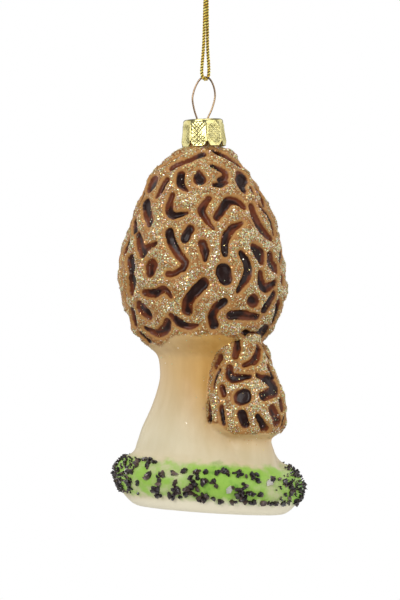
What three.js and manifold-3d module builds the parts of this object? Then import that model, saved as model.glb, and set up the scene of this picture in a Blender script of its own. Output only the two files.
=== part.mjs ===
// Blown-glass tree ornament shaped as a large and a small morel on a mossy foot.
// Millimetres, +Z up. The origin is the underside of the wire ring's crest, where the thread bears.
// The front, where the small morel stands, faces -Y.
import * as THREE from "three";
import { mergeVertices } from "three/addons/utils/BufferGeometryUtils.js";
import Module from "manifold-3d";

const wasm = await Module();
wasm.setup();

// Driving dimensions
const GLASS_WALL = 1.2;
const NECK_X = -0.5;
const NECK_TOP_Z = -14.1;
const NECK_RADIUS = 5.0;
const FOOT_SLOPE = -0.065; // the foot leans down towards +X
const FOOT_SLOPE_X = 1.0;
const FOOT_SLOPE_START_Z = -100;
const FOOT_SLOPE_FULL_Z = -113;

const CAP_HEIGHT = 8.2; // stamped crown cap, made from thin sheet
const CAP_TOP_RADIUS = 5.3;
const CAP_SHOULDER_RADIUS = 6.05;
const CAP_SKIRT_RADIUS = 6.9;
const CAP_SHEET = 0.4;
const CAP_X = -0.6;
const CAP_TOP_Z = -12.45;
const CAP_TILT = 0.042; // radians, high side towards +X
const PETALS = 8;
const SLIT_WIDTH = 0.7;
const SLIT_FIRST_ANGLE = (8 * Math.PI) / 180;
const SLIT_NOTCH_WIDTH = 2.6;
const SLIT_NOTCH_HEIGHT = 1.6;

const WIRE_DIAMETER = 0.55;
const WIRE_HOLES = [-1.75, 1.35]; // across the cap from its centre
const WIRE_HOLE_DIAMETER = 1.3;
const THREAD_DIAMETER = 1.0;
const TOUCH_GAP = 0.3; // kept between pieces that touch
const KNOT_RADIUS = 1.7;
const KNOT_HEIGHT = 3.6;
const GRIT_FILM_GAP = 0.45;
const GRIT_THICKNESS = 1.3;
const GRIT_LUMP = 0.45;

// Glass outline, level by level: height, then its -X, +X, -Y and +Y sides.
const LARGE_MOREL = [
  [NECK_TOP_Z, -5.5, 4.5, -5.0, 5.0],
  [-17.0, -5.5, 4.5, -5.0, 5.0],
  [-20.9, -5.7, 4.7, -5.2, 5.2],
  [-22.3, -8.8, 7.6, -8.2, 8.2],
  [-24.5, -12.4, 9.8, -10.8, 10.8],
  [-28.5, -16.0, 13.2, -14.2, 14.2],
  [-34.0, -18.9, 17.0, -17.2, 17.2],
  [-41.5, -21.6, 20.6, -20.2, 20.2],
  [-49.5, -24.2, 22.6, -22.4, 22.4],
  [-57.0, -25.9, 24.0, -23.6, 23.6],
  [-63.5, -25.6, 24.5, -23.8, 23.8],
  [-69.0, -24.0, 23.5, -22.6, 22.6],
  [-73.5, -22.6, 21.5, -20.8, 20.8],
  [-77.3, -20.8, 19.0, -18.6, 18.6],
  [-80.5, -17.0, 15.6, -15.2, 15.2],
  [-83.5, -14.2, 13.0, -12.6, 12.6],
  [-88.0, -13.5, 12.4, -12.0, 12.0],
  [-94.0, -14.4, 12.8, -12.4, 12.4],
  [-100.0, -16.6, 14.6, -13.4, 13.4],
  [-106.0, -19.1, 17.6, -15.4, 15.4],
  [-110.5, -20.4, 20.6, -17.2, 17.2],
  [-113.5, -21.4, 22.6, -18.6, 18.2],
  [-115.6, -24.6, 26.2, -20.8, 20.2],
  [-118.8, -27.0, 29.0, -22.6, 21.8],
  [-122.4, -26.8, 29.2, -22.6, 21.8],
  [-126.0, -24.6, 27.4, -20.8, 20.4],
  [-128.5, -22.2, 25.0, -19.2, 18.8],
  [-129.4, -20.4, 23.2, -17.6, 17.2],
];
const SMALL_MOREL = [
  [-74.5, 8.8, 12.8, -10.2, -6.2],
  [-76.5, 6.0, 15.6, -13.0, -3.4],
  [-80.0, 3.6, 17.9, -15.6, -1.0],
  [-84.0, 2.3, 19.8, -17.4, 0.6],
  [-90.0, 1.2, 21.9, -19.2, 1.8],
  [-96.0, 0.6, 24.0, -20.4, 2.6],
  [-99.5, 0.1, 24.5, -20.8, 2.8],
  [-103.0, -0.1, 24.0, -20.6, 2.4],
  [-105.6, 1.8, 22.0, -19.0, 1.0],
  [-107.4, 4.4, 19.7, -16.2, -0.8],
  [-110.5, 3.4, 20.6, -16.4, -0.6],
  [-114.0, 3.0, 21.4, -16.4, 0.0],
  [-120.0, 3.0, 20.5, -15.0, 0.0],
];
// Steps between two listed levels, and sides round each level.
const OUTSIDE = { steps: 1, sides: 44 };
const INSIDE = { steps: 1, sides: 26 };

// The wider pits between the ridges, as seen from the front: the widths along one, then the places
// (x, z) that it runs through. The back has the same ones turned round, each moved a little.
const LARGE_PITS = [
  [[1.3, 1.7, 1.3], [[2.4, -26.4], [5.9, -28.4], [6.1, -29.9], [4.4, -31.0]]],
  [[0.8, 3.6], [[-1.9, -28.2], [-1.7, -29.6], [-1.6, -30.8]]],
  [[2.2, 2.2, 0.5], [[-7.4, -29.2], [-7.5, -31.9], [-5.3, -34.2]]],
  [[2.4, 2.0], [[-16.2, -31.6], [-16.6, -32.3]]],
  [[2.6, 2.3, 1.3], [[11.5, -29.8], [10.9, -31.6], [11.6, -34.0]]],
  [[1.5, 2.2, 1.7, 0.8], [[-10.1, -35.5], [-10.9, -39.6], [-9.4, -41.6], [-5.5, -40.8]]],
  [[1.4, 2.2, 1.6, 0.6], [[1.2, -36.4], [-1.0, -39.9], [0.5, -42.9], [2.6, -45.4]]],
  [[1.9, 2.4, 2.3, 1.5], [[3.6, -42.0], [5.4, -39.4], [7.2, -37.2], [9.5, -37.2], [11.7, -38.8]]],
  [[1.6, 2.3, 1.9, 0.6], [[14.2, -39.0], [15.6, -43.3], [17.7, -46.0], [20.5, -48.6]]],
  [[1.5, 2.0, 1.7], [[-18.0, -37.8], [-17.5, -41.0], [-16.8, -43.6]]],
  [[1.0, 1.7, 2.2], [[-20.3, -47.2], [-19.6, -50.2], [-18.5, -52.4]]],
  [[1.9, 1.0], [[-18.2, -51.4], [-15.0, -49.9]]],
  [[2.2, 2.3, 2.2, 1.8], [[-10.8, -46.5], [-9.8, -50.0], [-7.7, -53.4], [-6.0, -55.5], [-6.6, -57.4]]],
  [[2.3, 2.4], [[-4.5, -45.6], [-6.1, -48.4]]],
  [[2.2, 2.4, 1.0], [[-0.9, -49.8], [-0.1, -51.9], [0.1, -54.8]]],
  [[0.8, 2.3, 2.2, 1.6], [[11.1, -43.8], [7.9, -45.8], [6.0, -49.2], [6.0, -53.0]]],
  [[1.6, 3.0, 1.5], [[14.7, -51.0], [16.3, -52.7], [17.0, -55.0]]],
  [[1.6, 2.0, 1.5], [[19.7, -53.6], [20.0, -55.7], [21.3, -57.1]]],
  [[3.1, 2.1], [[-16.2, -56.4], [-16.5, -58.5]]],
  [[4.4, 3.8], [[5.6, -58.2], [6.2, -60.2]]],
  [[1.5, 2.1, 2.2, 0.8], [[11.0, -52.8], [12.6, -55.9], [12.6, -59.4], [9.8, -64.2]]],
  [[1.6, 2.5, 2.0, 1.2], [[16.6, -58.8], [17.2, -61.9], [18.6, -63.1], [21.1, -61.4]]],
  [[1.8, 1.5], [[-22.5, -54.8], [-22.2, -57.7]]],
  [[2.0, 1.1], [[-22.1, -60.7], [-22.5, -64.3]]],
  [[1.7, 2.4, 1.7, 0.7], [[-18.4, -64.6], [-15.2, -64.8], [-12.2, -63.5], [-10.2, -65.9]]],
  [[2.6, 2.4], [[-19.5, -69.0], [-17.2, -71.1]]],
  [[3.1, 3.0, 2.7, 3.0], [[-0.5, -61.7], [-3.5, -64.9], [-5.3, -67.6], [-5.4, -69.9]]],
  [[1.9, 2.4, 2.4, 2.6], [[5.8, -67.2], [3.3, -69.1], [2.1, -71.9], [2.8, -74.3]]],
  [[2.7, 2.7, 1.7], [[7.9, -71.3], [11.8, -71.5], [15.7, -71.9]]],
  [[3.2, 3.0], [[14.4, -66.9], [14.8, -67.2]]],
  [[1.2, 2.0, 1.8, 0.8], [[-10.2, -71.3], [-7.8, -73.5], [-5.4, -74.7], [-2.4, -74.3]]],
  [[1.0, 1.9, 2.5, 2.0], [[-17.9, -75.2], [-14.2, -76.9], [-11.9, -75.3], [-11.2, -73.2]]],
  [[2.5, 2.4], [[17.3, -76.0], [17.8, -76.6]]],
];
const SMALL_PITS = [
  [[1.0, 2.1, 1.7], [[9.6, -78.6], [9.3, -80.8], [8.9, -83.0]]],
  [[1.3, 2.0, 1.0], [[16.2, -80.3], [15.2, -83.8], [11.5, -85.7]]],
  [[2.2, 2.6, 0.9], [[6.8, -86.6], [7.6, -89.4], [13.4, -88.9]]],
  [[0.9, 2.0, 2.0, 2.4], [[15.7, -88.5], [19.8, -90.6], [21.0, -93.1], [17.4, -94.8]]],
  [[4.2, 4.0], [[10.4, -95.2], [11.6, -94.7]]],
  [[2.6, 2.2], [[10.7, -100.2], [11.8, -103.4]]],
  [[1.4, 1.8], [[15.7, -100.8], [17.9, -105.0]]],
  [[2.4, 2.3], [[20.2, -98.9], [21.9, -102.6]]],
];
const PIT_DEPTH = 0.75;
const PIT_SHIFT = 1.2; // of each pit on the back, from its place on the front

// Wire: up the left leg from inside the neck, round the ring and down the right leg.
const WIRE_ROUTE = [
  [-4.0, -29], [-3.4, -24], [-2.5, -18.5], [-2.1, -14.5], [-2.35, -12.4], [-3.2, -9.7],
  [-3.75, -6.6], [-3.5, -4.6], [-2.75, -2.4], [-1.5, -0.4], [0.0, WIRE_DIAMETER / 2], [1.4, -0.3],
  [2.4, -2.0], [2.95, -4.2], [2.9, -6.4], [2.0, -9.5], [0.75, -12.3], [0.6, -14.5],
  [1.2, -18.5], [2.4, -24], [3.0, -29],
];
// Thread: down in front of the wire, under the ring's crest and up behind it.
const THREAD_ROUTE = [
  [0.2, -0.6, 25.6], [0.1, -0.6, 20], [-0.1, -0.7, 15], [-0.45, -0.9, 9], [-0.85, -1.15, 4],
  [-0.95, -1.2, 1.6], [-0.75, -1.1, 0.2], [-0.35, -0.75, -0.5], [0.15, 0, -0.8], [0.65, 0.75, -0.5],
  [1.0, 1.1, 0.2], [1.15, 1.2, 1.6], [1.1, 1.15, 4], [0.8, 0.9, 9], [0.6, 0.7, 15],
  [0.5, 0.6, 20], [0.4, 0.6, 25.6],
];
const KNOT_X = 0.3;
const KNOT_BOTTOM_Z = 25.6 + TOUCH_GAP;

// Turns a closed mesh with merged corners into a manifold solid.
function solid(geometry) {
  const bare = geometry.clone();
  bare.deleteAttribute("normal");
  bare.deleteAttribute("uv");
  const merged = mergeVertices(bare, 1e-4);
  const vertProperties = new Float32Array(merged.attributes.position.array);
  const triVerts = new Uint32Array(merged.index.array);
  return new wasm.Manifold(new wasm.Mesh({ numProp: 3, vertProperties, triVerts }));
}

function geometryOf(manifold) {
  const { vertProperties, triVerts } = manifold.getMesh();
  const geometry = new THREE.BufferGeometry();
  geometry.setAttribute("position", new THREE.BufferAttribute(new Float32Array(vertProperties), 3));
  geometry.setIndex(new THREE.BufferAttribute(new Uint32Array(triVerts), 1));
  return geometry;
}

function footSlope(z) {
  const start = -FOOT_SLOPE_START_Z;
  return FOOT_SLOPE * THREE.MathUtils.smoothstep(-z, start, -FOOT_SLOPE_FULL_Z);
}

// The smooth run of levels through a listed outline.
function levelsThrough(outline, steps) {
  const curveOf = (a, b) =>
    new THREE.CatmullRomCurve3(
      outline.map((row) => new THREE.Vector3(row[a], row[b], row[0])),
      false,
      "catmullrom",
      0.5,
    );
  const sides = curveOf(1, 2);
  const faces = curveOf(3, 4);
  const count = (outline.length - 1) * steps;
  return Array.from({ length: count + 1 }, (_, n) => {
    const across = sides.getPoint(n / count);
    const deep = faces.getPoint(n / count);
    return { z: across.z, left: across.x, right: across.y, front: deep.x, back: deep.y };
  });
}

// A lathe turned through one row for each level, then pulled out to each level's oval.
function ovals(levels, outline, sides, grow = () => 0) {
  const geometry = new THREE.LatheGeometry(outline, sides);
  const place = geometry.attributes.position;
  for (let n = 0; n < place.count; n += 1) {
    const row = Math.round(place.getY(n)) % levels.length;
    const { z, left, right, front, back } = levels[row];
    const across = place.getX(n);
    const deep = -place.getZ(n);
    const angle = Math.atan2(deep, across);
    const extra = grow(row, angle);
    const x = (left + right) / 2 + across * ((right - left) / 2 + extra);
    const y = (front + back) / 2 + deep * ((back - front) / 2 + extra);
    place.setXYZ(n, x, y, z + footSlope(z) * (x - FOOT_SLOPE_X));
  }
  geometry.computeVertexNormals();
  return geometry;
}

// A solid through the levels, flat at its first and last one.
function loft(levels, sides) {
  const last = levels.length - 1;
  const outline = levels.map((_, row) => new THREE.Vector2(1, row));
  outline.unshift(new THREE.Vector2(0, 0));
  outline.push(new THREE.Vector2(0, last));
  return ovals(levels, outline.reverse(), sides);
}

// The same solid with its whole surface moved in by the thickness of the glass.
function cavity(levels, sides) {
  const geometry = loft(levels, sides);
  geometry.deleteAttribute("uv");
  geometry.deleteAttribute("normal");
  const merged = mergeVertices(geometry, 1e-4);
  merged.computeVertexNormals();
  const place = merged.attributes.position;
  const normal = merged.attributes.normal;
  for (let n = 0; n < place.count; n += 1) {
    place.setXYZ(
      n,
      place.getX(n) - GLASS_WALL * normal.getX(n),
      place.getY(n) - GLASS_WALL * normal.getY(n),
      place.getZ(n) - GLASS_WALL * normal.getZ(n),
    );
  }
  return merged;
}

function cylinder(radius, length, sides, x, y, z) {
  return new THREE.CylinderGeometry(radius, radius, length, sides).rotateX(Math.PI / 2).translate(x, y, z);
}

function tube(points, diameter, steps, sides) {
  const section = new THREE.Shape().absarc(0, 0, diameter / 2, 0, 2 * Math.PI);
  return new THREE.ExtrudeGeometry(section, {
    steps,
    curveSegments: sides / 2, // for each half of the round section
    extrudePath: new THREE.CatmullRomCurve3(points.map((point) => new THREE.Vector3(...point))),
  });
}

// Centre and half-size, across and deep, of the level at a height.
function ovalAt(outline, z) {
  const after = Math.max(1, outline.findIndex((level) => level[0] <= z));
  const [a, b] = [outline[after - 1], outline[after]];
  const [, left, right, front, back] = a.map((v, n) => v + ((b[n] - v) * (z - a[0])) / (b[0] - a[0]));
  const [halfX, halfY] = [(right - left) / 2, (back - front) / 2];
  return { x: left + halfX, halfX, y: front + halfY, halfY };
}

function isClearOf(outline, { x, y, z }) {
  if (z > outline[0][0] || z < outline[outline.length - 1][0]) return true;
  const oval = ovalAt(outline, z);
  return Math.hypot((x - oval.x) / oval.halfX, (y - oval.y) / oval.halfY) > 1.05;
}

function skinPoint(outline, angle, z) {
  const { x, halfX, y, halfY } = ovalAt(outline, z);
  const across = x + halfX * Math.sin(angle);
  return new THREE.Vector3(across, y - halfY * Math.cos(angle), z + footSlope(z) * (across - FOOT_SLOPE_X));
}

// Where the ball that cuts a pit goes, to reach the pit's depth below the skin.
function ballPlace(outline, x, z, radius, side) {
  const { x: centre, halfX } = ovalAt(outline, z);
  const turn = Math.asin(THREE.MathUtils.clamp((x - centre) / halfX, -0.98, 0.98));
  const angle = side < 0 ? turn : turn + Math.PI;
  const skin = skinPoint(outline, angle, z);
  const around = skinPoint(outline, angle + 0.01, z).sub(skin);
  const up = skinPoint(outline, angle, z + 0.1).sub(skin);
  return skin.addScaledVector(around.cross(up).normalize(), Math.max(0, radius - PIT_DEPTH));
}

// The cutters of one morel's pits, on its front (side -1) or its back (side 1), where they are
// clear of the other morel.
function pitCutters(outline, pits, side, other) {
  const cutters = [];
  pits.forEach(([widths, route], number) => {
    const shift = side < 0 ? 0 : PIT_SHIFT;
    let last = null;
    route.forEach(([x, z], n) => {
      const radius = widths[Math.round((n * (widths.length - 1)) / (route.length - 1))] / 2;
      const movedX = x + shift * Math.sin(2.1 * number);
      const place = ballPlace(outline, movedX, z + shift * Math.cos(3.7 * number), radius, side);
      const ball = isClearOf(other, place)
        ? wasm.Manifold.sphere(radius, 8).translate(place.x, place.y, place.z)
        : null;
      if (last && ball) cutters.push(wasm.Manifold.hull([last, ball]));
      last = ball;
    });
  });
  return cutters;
}

function glassBody() {
  const outer = [LARGE_MOREL, SMALL_MOREL].map((outline) =>
    solid(loft(levelsThrough(outline, OUTSIDE.steps), OUTSIDE.sides)),
  );
  const inner = [LARGE_MOREL, SMALL_MOREL].map((outline) =>
    solid(cavity(levelsThrough(outline, INSIDE.steps), INSIDE.sides)),
  );
  const mouth = solid(cylinder(NECK_RADIUS - GLASS_WALL, 8, INSIDE.sides, NECK_X, 0, NECK_TOP_Z));
  const pits = [-1, 1].flatMap((side) => [
    ...pitCutters(LARGE_MOREL, LARGE_PITS, side, SMALL_MOREL),
    ...pitCutters(SMALL_MOREL, SMALL_PITS, side, LARGE_MOREL),
  ]);
  const skin = outer[0].add(outer[1]).subtract(wasm.Manifold.union(pits));
  return geometryOf(skin.subtract(inner[0].add(inner[1]).add(mouth)));
}

// Thin stamped cap: a flat top, a rounded shoulder and a flared skirt cut into petals.
function metalCap() {
  const outside = [
    [CAP_TOP_RADIUS, 0],
    [CAP_TOP_RADIUS + 0.5, -0.28],
    [CAP_SHOULDER_RADIUS, -0.9],
    [CAP_SKIRT_RADIUS, -CAP_HEIGHT],
  ];
  const inside = [
    [CAP_SKIRT_RADIUS - CAP_SHEET, -CAP_HEIGHT],
    [CAP_SHOULDER_RADIUS - CAP_SHEET, -1.0],
    [CAP_TOP_RADIUS, -CAP_SHEET],
  ];
  const profile = [[0, 0], ...outside, ...inside, [0, -CAP_SHEET]];
  const points = profile.map(([r, z]) => new THREE.Vector2(r, z)).reverse();
  let shell = solid(new THREE.LatheGeometry(points, 48).rotateX(Math.PI / 2));
  for (const x of WIRE_HOLES) {
    shell = shell.subtract(solid(cylinder(WIRE_HOLE_DIAMETER / 2, 3, 10, x, 0, 0)));
  }
  for (let petal = 0; petal < PETALS; petal += 1) {
    const angle = SLIT_FIRST_ANGLE + (petal * 2 * Math.PI) / PETALS;
    const half = SLIT_WIDTH / 2;
    const slit = new THREE.Shape();
    slit.moveTo(-half, -1.6);
    slit.lineTo(-half, SLIT_NOTCH_HEIGHT - CAP_HEIGHT);
    slit.lineTo(-SLIT_NOTCH_WIDTH / 2, -CAP_HEIGHT - 0.5);
    slit.lineTo(SLIT_NOTCH_WIDTH / 2, -CAP_HEIGHT - 0.5);
    slit.lineTo(half, SLIT_NOTCH_HEIGHT - CAP_HEIGHT);
    slit.lineTo(half, -1.6);
    const cutter = new THREE.ExtrudeGeometry(slit, { depth: CAP_SKIRT_RADIUS + 2, bevelEnabled: false });
    cutter.rotateX(Math.PI / 2).rotateZ(angle);
    shell = shell.subtract(solid(cutter));
  }
  return geometryOf(shell);
}

// Overhand knot as one solid: a rounded body with the two cut tails standing out of it.
function threadKnot() {
  const belly = [0, 0.35, 0.75, 1].map((t) => {
    const angle = Math.PI * (t - 0.5) * 0.86;
    return new THREE.Vector2(KNOT_RADIUS * Math.cos(angle), (KNOT_HEIGHT / 2) * Math.sin(angle));
  });
  belly.unshift(new THREE.Vector2(0, belly[0].y));
  belly.push(new THREE.Vector2(0, belly[belly.length - 1].y));
  const middle = KNOT_HEIGHT / 2;
  let knot = solid(new THREE.LatheGeometry(belly, 14).rotateX(Math.PI / 2).translate(0, 0, middle));
  for (const side of [-1, 1]) {
    const tail = [
      [side * 0.5, 0, middle],
      [side * 0.8, side * 0.4, KNOT_HEIGHT + 1.2],
      [side * 1.7, side * 0.9, KNOT_HEIGHT + 4.2],
    ];
    knot = knot.add(solid(tube(tail, THREAD_DIAMETER, 5, 8)));
  }
  return geometryOf(knot);
}

// The belt of grains glued round the foot, as one lumpy closed ring.
function gritBand() {
  const belt = levelsThrough(LARGE_MOREL, OUTSIDE.steps).filter(({ z }) => z < -115 && z > -127);
  const levels = [...belt, ...[...belt].reverse()];
  const outline = levels.map((_, row) => new THREE.Vector2(1, row));
  outline.push(new THREE.Vector2(1, levels.length));
  const lump = (row, angle) => {
    const outer = row < belt.length;
    const wave = Math.sin(11 * angle + 1.3 * row) * Math.cos(5 * angle - 0.7 * row);
    return GRIT_FILM_GAP + (outer ? GRIT_THICKNESS + GRIT_LUMP * wave : 0);
  };
  return ovals(levels, outline.reverse(), OUTSIDE.sides, lump);
}

function piece(name, geometry, color, roughness, metalness) {
  const mesh = new THREE.Mesh(geometry, new THREE.MeshStandardMaterial({ color, roughness, metalness }));
  mesh.name = name;
  return mesh;
}

const group = new THREE.Group();
group.add(piece("glass_body", glassBody(), 0xc39a66, 0.3, 0));
group.add(piece("grit_band", gritBand(), 0x3c2e2c, 0.5, 0));

const crown = new THREE.Group();
crown.position.set(CAP_X, 0, CAP_TOP_Z);
crown.rotation.y = -CAP_TILT;
crown.add(piece("metal_cap", metalCap(), 0xcdbb6a, 0.3, 1));
group.add(crown);

const wire = WIRE_ROUTE.map(([x, z]) => [x, 0, z]);
group.add(piece("hanger_wire", tube(wire, WIRE_DIAMETER, 56, 8), 0xc9a58a, 0.25, 1));
group.add(piece("hanging_thread", tube(THREAD_ROUTE, THREAD_DIAMETER, 36, 8), 0xc9a548, 0.45, 0.4));
const knot = piece("thread_knot", threadKnot(), 0xc9a548, 0.45, 0.4);
knot.position.set(KNOT_X, 0, KNOT_BOTTOM_Z);
group.add(knot);

export default group;
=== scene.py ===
import math

import bmesh
import bpy
import numpy as np
from mathutils import Matrix, Vector, noise


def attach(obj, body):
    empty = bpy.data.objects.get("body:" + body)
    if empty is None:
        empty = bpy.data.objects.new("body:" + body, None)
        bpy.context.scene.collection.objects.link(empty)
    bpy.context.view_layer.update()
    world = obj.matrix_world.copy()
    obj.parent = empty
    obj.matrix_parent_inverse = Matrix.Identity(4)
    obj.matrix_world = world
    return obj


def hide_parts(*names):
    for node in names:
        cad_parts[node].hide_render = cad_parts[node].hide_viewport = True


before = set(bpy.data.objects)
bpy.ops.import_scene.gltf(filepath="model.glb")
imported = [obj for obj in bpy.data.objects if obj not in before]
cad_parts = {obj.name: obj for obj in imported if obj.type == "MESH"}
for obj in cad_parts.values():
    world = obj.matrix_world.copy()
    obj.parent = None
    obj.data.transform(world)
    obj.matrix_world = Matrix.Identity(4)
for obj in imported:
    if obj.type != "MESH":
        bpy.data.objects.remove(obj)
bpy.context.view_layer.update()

# ---------------------------------------------------------------------------------------------
# View, floor and light. The ornament hangs in front of a pale sweep, level with the eye, in the
# even light of large soft boxes, as a small shop piece is shown.
MM = 0.001
VIEW_HEIGHT = 180 * MM
VIEW_CENTRE = (-1.5 * MM, 0, -66.6 * MM)
CAMERA_DISTANCE = 0.95
SENSOR = 24.0

camera_data = bpy.data.cameras.new("camera")
camera_data.sensor_fit = "VERTICAL"
camera_data.sensor_height = SENSOR
camera_data.lens = SENSOR * CAMERA_DISTANCE / VIEW_HEIGHT
camera_data.clip_start = 0.01
camera = bpy.data.objects.new("camera", camera_data)
camera.location = (VIEW_CENTRE[0], -CAMERA_DISTANCE, VIEW_CENTRE[2])
camera.rotation_euler = (math.radians(90), 0, 0)
bpy.context.scene.collection.objects.link(camera)
bpy.context.scene.camera = camera
bpy.context.scene.view_settings.view_transform = "Standard"


def linear(hex_colour):
    """The linear colour of an sRGB hex value, with alpha 1."""
    parts = [int(hex_colour[n : n + 2], 16) / 255 for n in (1, 3, 5)]
    return [p / 12.92 if p <= 0.04045 else ((p + 0.055) / 1.055) ** 2.4 for p in parts] + [1.0]


def add_node(tree, kind, inputs=None, **settings):
    """Adds a node with its settings; an input takes a value or another node's output."""
    made = tree.nodes.new("ShaderNode" + kind)
    for name, value in settings.items():
        setattr(made, name, value)
    for socket, value in (inputs or {}).items():
        if isinstance(value, bpy.types.NodeSocket):
            tree.links.new(value, made.inputs[socket])
        else:
            made.inputs[socket].default_value = value
    return made


def new_material(name):
    """A material with only its output node, and its tree."""
    material = bpy.data.materials.new(name)
    material.use_nodes = True
    material.node_tree.nodes.clear()
    return material, material.node_tree


def surface_out(tree, shader):
    add_node(tree, "OutputMaterial", {"Surface": shader.outputs[0]})


world = bpy.data.worlds.new("soft_light")
world.use_nodes = True
world.node_tree.nodes.clear()
ray = add_node(world.node_tree, "LightPath")
seen = add_node(world.node_tree, "Background", {"Color": linear("#FFFFFF"), "Strength": 1.0})
cast = add_node(world.node_tree, "Background", {"Color": linear("#F7F8FF"), "Strength": 0.27})
both = add_node(
    world.node_tree,
    "MixShader",
    {0: ray.outputs["Is Camera Ray"], 1: cast.outputs[0], 2: seen.outputs[0]},
)
add_node(world.node_tree, "OutputWorld", {"Surface": both.outputs[0]})
bpy.context.scene.world = world

# name, place in metres, size in metres, power in watts
SOFT_BOXES = [
    ("key_left", (-0.45, -0.80, 0.30), 0.50, 5.4),
    ("fill_right", (0.70, -0.60, 0.10), 0.80, 3.4),
    ("top", (0.0, 0.05, 0.75), 0.60, 3.1),
    ("rim_left", (-0.75, 0.40, 0.05), 1.00, 3.2),
    ("rim_right", (0.75, 0.40, 0.05), 1.00, 3.2),
]
for name, place, size, power in SOFT_BOXES:
    light = bpy.data.lights.new(name, "AREA")
    light.size = size
    light.energy = power
    lamp = bpy.data.objects.new(name, light)
    lamp.location = place
    aim = Vector(VIEW_CENTRE) - Vector(place)
    lamp.rotation_euler = aim.to_track_quat("-Z", "Y").to_euler()
    bpy.context.scene.collection.objects.link(lamp)

FLOOR_DROP = 0.32
FLOOR_RADIUS = 0.30
bm = bmesh.new()
bmesh.ops.create_circle(bm, cap_ends=True, segments=96, radius=FLOOR_RADIUS)
bmesh.ops.translate(bm, vec=(0, 0, -FLOOR_DROP), verts=bm.verts)
floor_mesh = bpy.data.meshes.new("floor")
bm.to_mesh(floor_mesh)
bm.free()
floor = bpy.data.objects.new("floor", floor_mesh)
bpy.context.scene.collection.objects.link(floor)
paper, tree = new_material("matt_white_paper")
shader = add_node(tree, "BsdfPrincipled", {"Base Color": linear("#F4F4F2"), "Roughness": 0.9})
surface_out(tree, shader)
floor_mesh.materials.append(paper)

# ---------------------------------------------------------------------------------------------
# Hanging thread. Gold metallic thread of two strands twisted together, passed through the wire
# ring, doubled upwards and tied in an overhand knot that takes the weight.
THREAD_CREST = 0.56  # radius over the strands' crests
THREAD_ROUTE = [
    (0.05, -0.6, 25.6), (-0.1, -0.6, 20), (-0.22, -0.7, 15), (-0.45, -0.9, 9), (-0.85, -1.0, 4),
    (-0.98, -0.95, 1.8), (-0.8, -0.85, 0.55), (-0.4, -0.6, -0.15), (0.15, 0, -0.42),
    (0.65, 0.6, -0.15), (1.0, 0.85, 0.55), (1.15, 0.95, 1.8), (1.1, 1.0, 4), (0.8, 0.9, 9),
    (0.72, 0.7, 15), (0.68, 0.6, 20), (0.58, 0.6, 25.6),
]
THREAD_LAY = 1.7  # length of one full turn of the twist
THREAD_SIDES = 18
THREAD_STEP = 0.13
STRANDS = 2
STRAND_GROOVE = 0.36  # how deep the groove between two strands is, of the radius
TWISTED = (THREAD_CREST, THREAD_SIDES, STRANDS, STRAND_GROOVE, THREAD_LAY)


def smooth_run(points, step):
    """Points about a step apart on the smooth curve through the given ones."""
    points = np.array(points, float)
    ends = [2 * points[0] - points[1], *points, 2 * points[-1] - points[-2]]
    run = [points[0]]
    for a, b, c, d in zip(ends, ends[1:], ends[2:], ends[3:]):
        count = max(1, round(np.linalg.norm(c - b) / step))
        for n in range(1, count + 1):
            t = n / count
            square = (2 * a - 5 * b + 4 * c - d) * t * t
            cube = (3 * b - a - 3 * c + d) * t**3
            run.append(0.5 * (2 * b + (c - a) * t + square + cube))
    return run


def sweep(bm, run, radius, sides, lobes=0, lobe_depth=0.0, lay=1e9):
    """Skins a tube along the run; a lobed section turns once in each lay."""
    groove = bm.verts.layers.float.get("groove") or bm.verts.layers.float.new("groove")
    points = [Vector(p) for p in run]
    ahead = (points[1] - points[0]).normalized()
    stand = Matrix.Translation(points[0]) @ ahead.to_track_quat("Z", "Y").to_matrix().to_4x4()
    ring = bmesh.ops.create_circle(bm, cap_ends=True, segments=sides, radius=radius)["verts"]
    for v in ring:
        turn = math.atan2(v.co.y, v.co.x)
        v[groove] = 0.5 - 0.5 * math.cos(lobes * turn)
        v.co *= 1 - lobe_depth * v[groove]
    bmesh.ops.transform(bm, matrix=stand, verts=ring)
    edges = list({e for v in ring for e in v.link_edges})
    for n in range(1, len(points)):
        onward = (points[min(n + 1, len(points) - 1)] - points[n - 1]).normalized()
        step = (points[n] - points[n - 1]).length
        bend = ahead.rotation_difference(onward).to_matrix().to_4x4()
        twist = Matrix.Rotation(2 * math.pi * step / lay, 4, onward)
        move = Matrix.Translation(points[n]) @ twist @ bend @ Matrix.Translation(-points[n - 1])
        grown = bmesh.ops.extrude_edge_only(bm, edges=edges)["geom"]
        edges = [g for g in grown if isinstance(g, bmesh.types.BMEdge)]
        ring = [g for g in grown if isinstance(g, bmesh.types.BMVert)]
        bmesh.ops.transform(bm, matrix=move, verts=ring)
        ahead = onward
    bmesh.ops.edgeloop_fill(bm, edges=edges)


def add_piece(bm, name, slot, material, *cad_nodes, smooth=True):
    """Turns a bmesh in millimetres into a piece in metres that rides on the ornament."""
    bmesh.ops.recalc_face_normals(bm, faces=bm.faces)
    bmesh.ops.scale(bm, vec=(MM, MM, MM), verts=bm.verts)
    mesh = bpy.data.meshes.new(name)
    bm.to_mesh(mesh)
    bm.free()
    if smooth:
        mesh.shade_smooth()
    mesh.materials.append(material)
    piece = bpy.data.objects.new(name, mesh)
    bpy.context.scene.collection.objects.link(piece)
    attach(piece, "root")
    if cad_nodes:
        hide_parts(*cad_nodes)
    return piece


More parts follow.
